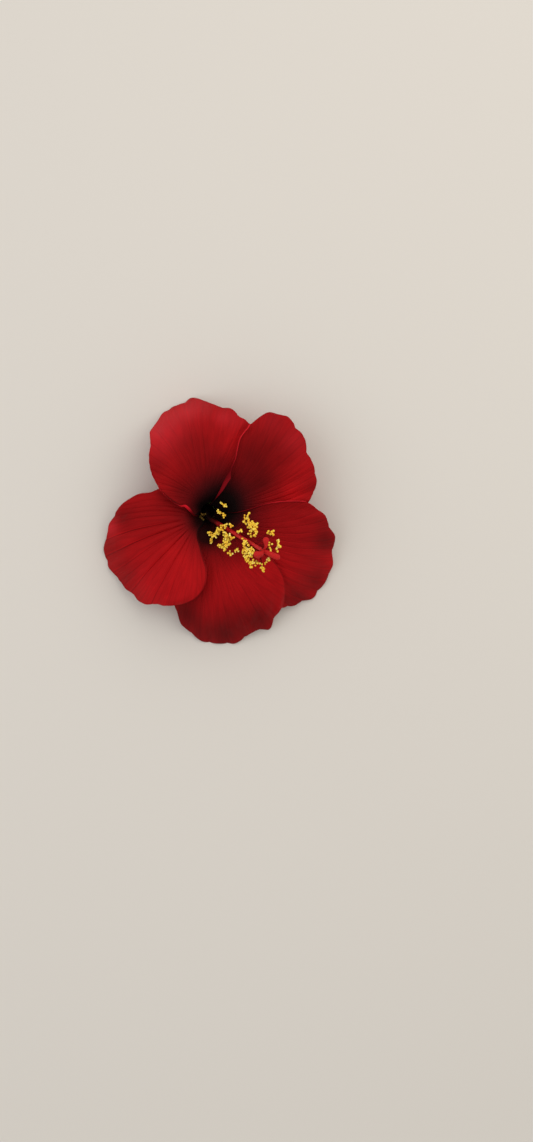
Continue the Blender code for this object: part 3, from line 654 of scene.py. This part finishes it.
# shares are how much darker the veins are, how much painted shade darkens the crease lines and how much painted
# highlight lightens the lit shoulders
upperSide = makePetalMaterial("petalUpperSide", [
    (0.0, "#060202"), (0.105, "#0e0303"), (0.155, "#2b0507"), (0.215, "#50070a"), (0.29, "#74090d"),
    (0.38, "#8a0a0e"), (0.50, "#970b0f"), (0.70, "#9e0c11"), (1.0, "#a20e14"),
], (-0.09, -0.55, 0.3), "#c4303a", 0.08, 0.02)
underSide = makePetalMaterial("petalUnderSide", [
    (0.0, "#640c14"), (0.12, "#820e19"), (0.25, "#b01420"), (0.45, "#d2222c"), (1.0, "#d62630"),
], (-0.16, -0.2, 0.0), "#d2343e", 0.05, 0.0)
cadPetals = {"UpperLeft": "petal_upper_left", "UpperRight": "petal_upper_right", "Right": "petal_right",
             "Lower": "petal_lower", "Left": "petal_left"}
for name, shape in petals.items():
    bm = mappedGrid(petalMake["columns"], petalMake["rows"], petalAttributes, petalPlace(shape))
    bmesh.ops.reverse_faces(bm, faces=bm.faces[:])  # the upper side faces up
    petal = addPiece("petal" + name, bm, [upperSide, underSide], [cadPetals[name]])
    thicken(petal, petalMake["thickness"], 1)
print("petals made")


column = {
    "line": ((-4.0, 2.4, 4.6), (-4.0, 2.2, 7.6), (-3.9, 1.7, 10.4), (-3.6, 0.6, 12.8), (-2.7, -1.1, 15.4)),
    "tip": Vector((24.8, -17.9, 52.9)),
    "radii": (2.9, 2.7, 2.1, 1.55, 1.3),
    "tipRadius": 0.95,
    "leanParts": 6,  # of the straight leaning length
    "steps": 60,
    "sides": 20,
    "flare": (7.2, 2.6, 1.5),  # the foot widens below this height, over this drop, to close the funnel
    "cap": ((0.35, 0.8), (0.5, 0.5)),  # (past the end, radius)
    "filament": (0.12, 0.09, 0.07),
    "filamentSteps": 8,
    "filamentSides": 6,
    "lag": 4.6,  # filaments start this far back from their anthers, no lower than "lowest"
    "lowest": -1.6,
    "startsOut": 0.8,
    "bend": 0.6,
    "under": 0.45,  # and run up to them from below
    "wander": 0.3,
}
columnStart = bloom["mouth"] + Vector(column["line"][-1])
columnEnd = bloom["mouth"] + column["tip"]
columnWay = (columnEnd - columnStart).normalized()
columnAcross = up.cross(columnWay).normalized()


def columnPoint(share):
    # middle of the column, share 0 at the receptacle and 1 at its top
    knots, sizes = [bloom["mouth"] + Vector(p) for p in column["line"]], list(column["radii"])
    last, parts = sizes[-1], column["leanParts"]
    for k in range(1, parts + 1):
        knots.append(columnStart.lerp(columnEnd, k / parts))
        sizes.append(last + (column["tipRadius"] - last) * k / parts)
    s = share * (len(knots) - 1)
    return along(knots, s), along(sizes, s)


def makeColumnMaterial(name, dark, middle, pale, roughness, specular):
    # staminal tube and filaments: smooth moist plant tissue, finely mottled crimson, with painted shade that turns it
    # greyish and then near black where it stands in the throat; the thin filaments are darker and duller than the tube
    material, tree, shader = newMaterial(name, {
        "Roughness": roughness, "IOR": 1.4, "Specular IOR Level": specular,
    })
    place = addNode(tree, "TexCoord").outputs["Object"]
    mottle = addNode(tree, "TexNoise", {"Scale": 600.0, "Detail": 2.0}, {"Vector": place})
    colour = addNode(tree, "ValToRGB", {"stops": [(0.3, dark), (0.55, middle), (0.75, pale)]}, {"Fac": mottle})
    # painted shade where the column stands in the throat
    colour = paintThroatShade(tree, place, colour, 0.0125, 0.028, [
        (0.0, "#0c0405"), (0.35, "#1e0a0d"), (0.6, "#5a2a30"), (1.0, "#ffffff")])
    dress(tree, shader, colour, mottle, 0.3, 0.0001)
    return material


# knots of anthers are strung along these lines (how many knots, points); each anther is a bean-shaped sac
anthers = {
    "strings": (
        (8, (1.4, 7.6, 21), (3.2, 8.1, 21), (5.3, 5.8, 21.5)),
        (9, (0.6, 4.2, 22), (2.2, 3.1, 22), (4.1, 0.5, 23)),
        (6, (-5.1, 3.1, 15), (-7.5, 2.3, 14.5), (-8.0, -0.9, 14.5)),
        (14, (-4.1, -7.4, 23), (-2.4, -9.0, 24.5), (-3.3, -12.6, 23.5)),
        (10, (-1.6, -8.7, 26), (1.3, -7.2, 28.5)),
        (9, (0.2, -7.6, 28), (1.6, -5.8, 30), (3.4, -4.2, 31.5), (5.2, -3.6, 33)),
        (10, (0.3, -5.4, 30), (3.0, -5.0, 32), (6.1, -3.2, 35), (8.5, -4.3, 36)),
        (12, (3.6, -5.8, 32), (5.0, -8.0, 34), (7.2, -9.4, 35.5), (8.8, -10.6, 37)),
        (12, (3.8, -8.8, 33), (6.0, -10.4, 34), (4.6, -12.4, 33), (6.4, -13.4, 33.5)),
        (13, (4.0, -11.0, 33.5), (6.1, -11.7, 34), (3.0, -14.3, 32), (0.6, -14.3, 31)),
        (6, (2.9, -13.8, 31), (5.1, -15.9, 33)),
        (11, (5.1, -16.4, 33.5), (7.7, -18.0, 34.5), (10.3, -16.9, 36), (11.1, -15.7, 37)),
        (4, (10.7, -7.1, 42), (13.7, -6.6, 44)),
        (18, (15.5, 1.6, 38), (16.0, -0.5, 38.5), (17.6, -2.6, 40), (20.4, -3.9, 42)),
        (12, (17.6, -1.4, 39), (19.6, -2.6, 41), (20.8, -5.0, 43), (19.2, -6.4, 43)),
        (12, (13.8, -2.2, 38.5), (16.4, -3.2, 40), (18.8, -5.0, 42), (18.0, -7.4, 43)),
        (14, (16.5, -4.4, 41), (18.9, -5.2, 43), (21.2, -6.5, 45), (19.9, -9.1, 43.5), (16.3, -8.1, 44)),
        (10, (26.8, -8.4, 47), (28.9, -7.1, 49), (29.1, -9.2, 49)),
        (14, (31.4, -11.5, 49.5), (32.2, -14.5, 51), (31.2, -17.6, 51.5)),
        (9, (28.1, -12.8, 50), (27.1, -14.8, 50.5), (28.9, -17.1, 51)),
        (14, (14.0, -10.9, 47), (15.6, -12.5, 48), (14.1, -14.8, 48), (17.6, -14.0, 49.5)),
        (12, (16.4, -15.6, 48.5), (18.6, -15.8, 49.5), (18.0, -18.6, 50), (16.8, -20.4, 49)),
        (11, (13.8, -16.0, 47.5), (14.3, -18.2, 47.5), (15.2, -20.4, 48), (16.4, -22.8, 48.5)),
        (9, (17.2, -22.6, 48.5), (19.0, -23.4, 49.5), (21.0, -23.0, 49.5), (22.6, -23.6, 49.5)),
        (15, (15.1, -16.6, 48), (18.2, -17.1, 50), (19.7, -17.6, 50.5), (16.1, -19.1, 49)),
        (14, (16.1, -21.2, 48), (18.4, -19.6, 49.5), (19.4, -21.7, 50), (17.9, -24.5, 50), (20.2, -24.5, 50)),
        (5, (22.2, -24.0, 49.5), (25.6, -22.4, 50), (26.8, -21.2, 50.5)),
        (8, (24.3, -24.7, 49.5), (24.3, -26.3, 49.5), (24.5, -27.8, 49.5)),
    ),
    "shift": 0.3,  # how unevenly the knots stand along their string
    "stray": (1.15, 0.3, 1.0),  # how far they stray from it, at most, and the least and the full share of that
    "pairs": 0.5,  # share of the knots with a second sac, this many radii away
    "pairApart": 1.6,
    "radius": (0.47, 0.67),
    "longer": (1.0, 1.25),  # a sac's length and depth beside its width
    "depth": 0.88,
    "spin": 6.28,
    "parts": (10, 6),
    "seed": 17,
}


def makePollenMaterial():
    # ripe anthers dusted with pollen: a dry lemon to golden powder, each sac a little different, with a painted
    # highlight on its top and painted shade, brown, round its sides; painted shade leaves the few that stand deep in
    # the throat brown and dull
    material, tree, shader = newMaterial("pollen", {
        "Roughness": 0.75, "IOR": 1.45, "Specular IOR Level": 0.25,
    })
    place = addNode(tree, "TexCoord").outputs["Object"]
    patch = addNode(tree, "TexNoise", {"Scale": 420.0, "Detail": 2.0}, {"Vector": place})
    colour = addNode(tree, "ValToRGB", {"stops": [
        (0.28, "#e8aa2a"), (0.42, "#facc3c"), (0.58, "#ffe656"), (0.75, "#fff8a8"),
    ]}, {"Fac": patch})
    crown = addNode(tree, "Attribute", {"attribute_name": "crown"}).outputs["Fac"]
    # painted shade brown round each sac's sides and a painted highlight white on its top
    sides = addNode(tree, "ValToRGB", {"stops": [(0.5, "#b07024"), (0.66, "#eed292"), (0.8, "#ffffff")]}, {
        "Fac": crown,
    })
    colour = addNode(tree, "MixRGB", {"blend_type": "MULTIPLY", "Fac": 1.0}, {"Color1": colour, "Color2": sides})
    # painted shade deep in the throat
    colour = paintThroatShade(tree, place, colour, 0.0165, 0.0195, [(0.0, "#5e5450"), (1.0, "#ffffff")])
    # pollen grains are 0.15 mm, drawn a little coarser
    grains = addNode(tree, "TexVoronoi", {"Scale": 4500.0}, {"Vector": place})
    dress(tree, shader, colour, grains, 0.35, 0.00012, True)
    return material


chance = random.Random(anthers["seed"])


def anyWay():
    return Vector((chance.uniform(-1.0, 1.0), chance.uniform(-1.0, 1.0), chance.uniform(-1.0, 1.0))).normalized()


def makeSac(centre, size):
    # one bean-shaped sac; it records how far towards the top each point of it lies, for painted light on top and
    # painted shade round the sides
    sac = bmesh.new()
    segments, rings = anthers["parts"]
    bean = Matrix.Diagonal((1.0, chance.uniform(*anthers["longer"]), anthers["depth"], 1.0))
    spin = Matrix.Rotation(chance.uniform(0.0, anthers["spin"]), 4, anyWay())
    matrix = Matrix.Translation(centre * mm) @ spin @ bean
    bmesh.ops.create_uvsphere(sac, u_segments=segments, v_segments=rings, radius=size * mm, matrix=matrix)
    crown = sac.verts.layers.float.new("crown")
    for vert in sac.verts:
        vert[crown] = 0.5 + 0.5 * (vert.co - centre * mm).normalized().z
    return sac


knots = []
bm = bmesh.new()
bm.verts.layers.float.new("crown")
stray, leastStray, fullStray = anthers["stray"]
for count, *points in anthers["strings"]:
    points = [Vector(point) for point in points]
    for k in range(count):
        s = (k + 0.5 + chance.uniform(-anthers["shift"], anthers["shift"])) / count * (len(points) - 1)
        knot = along(points, s) + anyWay() * stray * chance.uniform(leastStray, fullStray)
        knots.append(knot)
        for n in range(2 if chance.random() < anthers["pairs"] else 1):
            size = chance.uniform(*anthers["radius"])
            centre = knot + anyWay() * size * anthers["pairApart"] * n
            joinInto(bm, makeSac(centre, size))
antherNodes = [node for node in sorted(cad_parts) if node.startswith("anther")]
addPiece("anthers", bm, [makePollenMaterial()], antherNodes)
print("anthers made:", len(knots), "knots")

line = []
below, drop, widen = column["flare"]
for k in range(column["steps"] + 1):
    point, radius = columnPoint(k / column["steps"])
    line.append((point, radius + widen * (max(0.0, below - point.z) / drop) ** 2))
line += [(columnEnd + columnWay * beyond, radius) for beyond, radius in column["cap"]]
bm = tube(line, column["sides"])
for knot in knots:
    lengthwise = (knot - columnStart).dot(columnWay)
    outwards = (knot - columnStart - columnWay * lengthwise).normalized()
    lengthwise = max(lengthwise - column["lag"], column["lowest"])
    start = columnStart + columnWay * lengthwise + outwards * column["startsOut"]
    sink = up * column["under"]
    end = knot - sink
    bend = start.lerp(end, 0.5) + columnWay * column["bend"] - sink + anyWay() * column["wander"]
    curve = curveThrough([start, bend, end], column["filament"], column["filamentSteps"])
    joinInto(bm, tube(curve, column["filamentSides"]), 1)
columnTissue = makeColumnMaterial("columnTissue", "#960f14", "#c0171c", "#da2e33", 0.38, 0.45)
filamentTissue = makeColumnMaterial("filamentTissue", "#5a090c", "#740b0f", "#881115", 0.7, 0.08)
addPiece("staminalColumn", bm, [columnTissue, filamentTissue], ["staminal_column"])
print("column and filaments made")

# each lobe ends at (forward, sideways, rise) from the top of the style; its radius goes neck, middle, head
pistil = {
    "beyond": 2.6,
    "style": ((-1.0, 0.42), (0.0, 0.42), (1.3, 0.42), (2.6, 0.5), (2.9, 0.3)),  # (past the column's end, radius)
    "styleSides": 12,
    "lobes": (
        ((-1.6, 5.2, 2.2), (0.4, 0.7, 1.65)),
        ((-1.9, -3.4, 4.2), (0.4, 1.1, 1.65)),
        ((7.8, 1.0, 1.6), (0.8, 1.35, 1.4)),
        ((6.0, 0.9, -3.8), (0.45, 0.8, 1.3)),
        ((-0.8, -3.6, -1.6), (0.45, 0.8, 1.3)),
    ),
    "rise": 1.2,
    "middle": 0.45,
    "rootBack": 0.5,
    "steps": 12,
    "sides": 16,
    "roundEnd": (15, 30, 45, 60, 75, 85),
}


def makeStigmaMaterial():
    # stigma pads: soft velvet of sticky papillae, warm bright red and quite matt, darker between the tufts
    material, tree, shader = newMaterial("stigmaVelvet", {
        "Roughness": 0.65, "IOR": 1.4, "Specular IOR Level": 0.25,
        "Sheen Weight": 0.02, "Sheen Tint": srgb("#ff8a80"),
    })
    place = addNode(tree, "TexCoord").outputs["Object"]
    # papillae are 0.1 mm, drawn three times as coarse
    tufts = addNode(tree, "TexVoronoi", {"Scale": 3000.0}, {"Vector": place})
    colour = addNode(tree, "ValToRGB", {"stops": [(0.0, "#cc211d"), (0.5, "#bc1919"), (0.85, "#a61416")]}, {
        "Fac": tufts,
    })
    dress(tree, shader, colour, tufts, 0.5, 0.00015, True)
    return material


styleTop = columnEnd + columnWay * pistil["beyond"]
line = [(columnEnd + columnWay * beyond, radius) for beyond, radius in pistil["style"]]
bm = tube(line, pistil["styleSides"])
level = Vector((columnWay.x, columnWay.y, 0.0)).normalized()
for (forward, sideways, rise), sizes in pistil["lobes"]:
    end = styleTop + level * forward + columnAcross * sideways + up * rise
    middle = styleTop.lerp(end, pistil["middle"]) + columnWay * pistil["rise"]
    curve = curveThrough([styleTop - columnWay * pistil["rootBack"], middle, end], sizes, pistil["steps"])
    way = (end - curve[-2][0]).normalized()
    for turn in [math.radians(angle) for angle in pistil["roundEnd"]]:
        curve.append((end + way * sizes[-1] * math.sin(turn), sizes[-1] * math.cos(turn)))
    joinInto(bm, tube(curve, pistil["sides"]))
addPiece("pistilTop", bm, [makeStigmaMaterial()], ["pistil"])
print("pistil made")

# the calyx follows the funnel's outside at an even distance; past the notches it parts into five pointed lobes
calyx = {
    "columns": 150,
    "rows": 26,
    "offset": 2.1,
    "flare": 0.9,
    "notch": 2.3,
    "lobe": 2.1,
    "lobeRound": 0.8,
    "turn": 20.0,
    "thickness": 0.7,
    "ribs": 0.16,
    "ribSharp": 6,
}
# a bract's middle line is (distance out from the receptacle's side, height)
bracts = {
    "count": 7,
    "parts": (8, 26),
    "width": 2.2,
    "tip": 0.14,
    "taper": 1.6,
    "leanIn": 0.4,
    "thickness": 0.5,
    "turn": 12.0,
    "start": 7.75,
    "line": ((0.0, 3.2), (0.25, 5.0), (1.3, 7.6), (3.1, 10.6), (5.4, 13.2)),
    "keel": 0.22,
}
# receptacle's profile is (radius, height), the stalk's line (point from the funnel's foot, radius)
pedicel = {
    "bowl": ((0.0, 4.05), (3.4, 4.1), (6.5, 4.05), (7.0, 3.9), (7.2, 3.6), (7.15, 3.2), (6.9, 2.8), (6.4, 2.45),
             (5.6, 2.1), (4.5, 1.8), (3.4, 1.55), (2.4, 1.4), (0.0, 1.3)),
    "bowlSides": 48,
    "stalk": (((0.0, 0.0, 3.2), 1.7), ((-0.7, 0.5, 2.2), 1.6), ((-2.2, 1.4, 1.5), 1.4), ((-4.4, 2.7, 1.3), 1.3),
              ((-6.8, 4.1, 1.3), 1.3)),
    "stalkSteps": 24,
    "stalkSides": 24,
}
funnelFoot = bloom["mouth"] + bloom["lean"]


def makeSepalMaterial(name, dark, middle, pale):
    # young green plant skin under a short down: matt, mottled, with paler ribs and lengthwise streaks
    material, tree, shader = newMaterial(name, {
        "Roughness": 0.62, "IOR": 1.4, "Specular IOR Level": 0.25,
        "Sheen Weight": 0.12, "Sheen Tint": srgb("#e4f0c8"),
    })
    place = addNode(tree, "TexCoord").outputs["Object"]
    rib = addNode(tree, "Attribute", {"attribute_name": "rib"}).outputs["Fac"]
    mottle = addNode(tree, "TexNoise", {"Scale": 380.0, "Detail": 3.0, "Roughness": 0.6}, {"Vector": place})
    drawnOut = addNode(tree, "Mapping", {"Scale": (1.0, 1.0, 0.2)}, {"Vector": place})
    streaks = addNode(tree, "TexNoise", {"Scale": 1400.0, "Detail": 2.0}, {"Vector": drawnOut})
    mixed = addNode(tree, "Math", {"operation": "MULTIPLY_ADD", 1: 0.35}, {0: rib, 2: mottle})
    mixed = addNode(tree, "Math", {"operation": "MULTIPLY_ADD", 1: 0.3}, {0: streaks, 2: mixed})
    colour = addNode(tree, "ValToRGB", {"stops": [(0.45, dark), (0.68, middle), (1.0, pale)]}, {"Fac": mixed})
    dress(tree, shader, colour, streaks, 0.4, 0.00015)
    return material


def calyxPlace(u, v):
    direction = 180.0 * u
    # five lobes, and three ribs to each
    swing = math.radians(direction - calyx["turn"])
    lobe = abs(math.cos(2.5 * swing)) ** calyx["lobeRound"]
    rib = abs(math.cos(7.5 * swing)) ** calyx["ribSharp"]
    s = (calyx["notch"] + calyx["lobe"] * lobe) * v
    out = smoothStep((s - calyx["notch"]) / calyx["lobe"])
    spread = calyx["offset"] + calyx["flare"] * out + calyx["ribs"] * rib * (1.0 - 0.5 * v)
    return onBloom(direction, s) - bloomNormal(direction, s) * spread, (rib * (0.4 + 0.6 * v),), (u, v)


def bractPlace(angle):
    outward = Vector((math.cos(angle), math.sin(angle), 0.0))
    sideways = Vector((-math.sin(angle), math.cos(angle), 0.0))
    outs, heights = zip(*bracts["line"])

    def place(u, v):
        step = v * (len(outs) - 1)
        height = along(heights, step)
        lean = bloom["lean"] * (-bracts["leanIn"] * smoothStep((height - heights[0]) / (heights[-1] - heights[0])))
        width = bracts["width"] * (1.0 - (1.0 - bracts["tip"]) * v ** bracts["taper"])
        ridge = bracts["keel"] * (1.0 - abs(u)) * (1.0 - v)
        radius = bracts["start"] + along(outs, step) + ridge
        spot = funnelFoot + lean + outward * radius + sideways * (width * u / 2.0)
        spot.z = height
        return spot, ((1.0 - abs(u)) ** 3,), (u, v)
    return place


sepalGreen = makeSepalMaterial("sepalSkin", "#3f5a22", "#5f7c30", "#8fa650")
bm = mappedGrid(calyx["columns"], calyx["rows"], ["rib"], calyxPlace, seam=True)
thicken(addPiece("calyxCup", bm, [sepalGreen], ["calyx"]), calyx["thickness"])

bm = bmesh.new()
for k in range(bracts["count"]):
    angle = math.radians(360.0 * k / bracts["count"] + bracts["turn"])
    joinInto(bm, mappedGrid(*bracts["parts"], ["rib"], bractPlace(angle)))
bractNodes = ["bract_%d" % (k + 1) for k in range(bracts["count"])]
thicken(addPiece("bracts", bm, [sepalGreen], bractNodes), bracts["thickness"])

bm = bmesh.new()
spots = [bm.verts.new(Vector((radius, 0.0, height)) * mm) for radius, height in pedicel["bowl"]]
edges = [bm.edges.new((a, b)) for a, b in zip(spots, spots[1:])]
bmesh.ops.spin(bm, geom=spots + edges, cent=(0.0, 0.0, 0.0), axis=up, angle=2.0 * math.pi,
               steps=pedicel["bowlSides"], use_merge=True)
bmesh.ops.remove_doubles(bm, verts=bm.verts[:], dist=mergeDistance)
bmesh.ops.recalc_face_normals(bm, faces=bm.faces[:])
bmesh.ops.translate(bm, verts=bm.verts[:], vec=funnelFoot * mm)
points, radii = zip(*[(funnelFoot + Vector(point), radius) for point, radius in pedicel["stalk"]])
joinInto(bm, tube(curveThrough(points, radii, pedicel["stalkSteps"]), pedicel["stalkSides"]))
stalkGreen = makeSepalMaterial("stalkSkin", "#4a5c28", "#6d8038", "#98a560")
addPiece("pedicelAndReceptacle", bm, [stalkGreen], ["pedicel"])
print("calyx, bracts and pedicel made")

studio = {
    "floor": (3.0, "#d8d4ce"),
    "sky": ("#f2efe9", 0.76),
    "lamps": (  # (name, place, size, power, colour)
        ("key", (0.37, 0.46, 0.70), 1.2, 3.5, "#fff8f0"),
        ("fill", (-0.7, 0.0, 0.8), 1.2, 2.4, "#f4f6ff"),
    ),
    "camera": (0.02606, -0.02728, 1.020),
    "lens": 60.0,
    "sensor": 36.0,
}
floorSize, floorColour = studio["floor"]
bpy.ops.mesh.primitive_plane_add(size=floorSize)
floor = bpy.context.object
floor.name = "floor"
# matt wall paint: plain, so that the bloom's soft shade is all that shows on it
material, tree, shader = newMaterial("floorPaint", {
    "Base Color": srgb(floorColour), "Roughness": 0.8, "Specular IOR Level": 0.2,
})
floor.data.materials.append(material)

world = bpy.data.worlds.new("studio")
bpy.context.scene.world = world
world.use_nodes = True
sky = world.node_tree.nodes["Background"]
skyColour, skyStrength = studio["sky"]
sky.inputs["Color"].default_value = srgb(skyColour)
sky.inputs["Strength"].default_value = skyStrength

for name, place, size, power, colour in studio["lamps"]:
    data = bpy.data.lights.new(name, "AREA")
    data.shape = "DISK"
    data.size, data.energy, data.color = size, power, srgb(colour)[:3]
    lamp = bpy.data.objects.new(name, data)
    bpy.context.scene.collection.objects.link(lamp)
    lamp.location = place
    lamp.rotation_mode = "QUATERNION"
    lamp.rotation_quaternion = Vector(place).to_track_quat("Z", "Y")

camera = bpy.data.objects.new("camera", bpy.data.cameras.new("camera"))
bpy.context.scene.collection.objects.link(camera)
camera.data.lens = studio["lens"]
camera.data.sensor_width = studio["sensor"]
camera.location = studio["camera"]
bpy.context.scene.camera = camera
bpy.context.scene.view_settings.view_transform = "Standard"
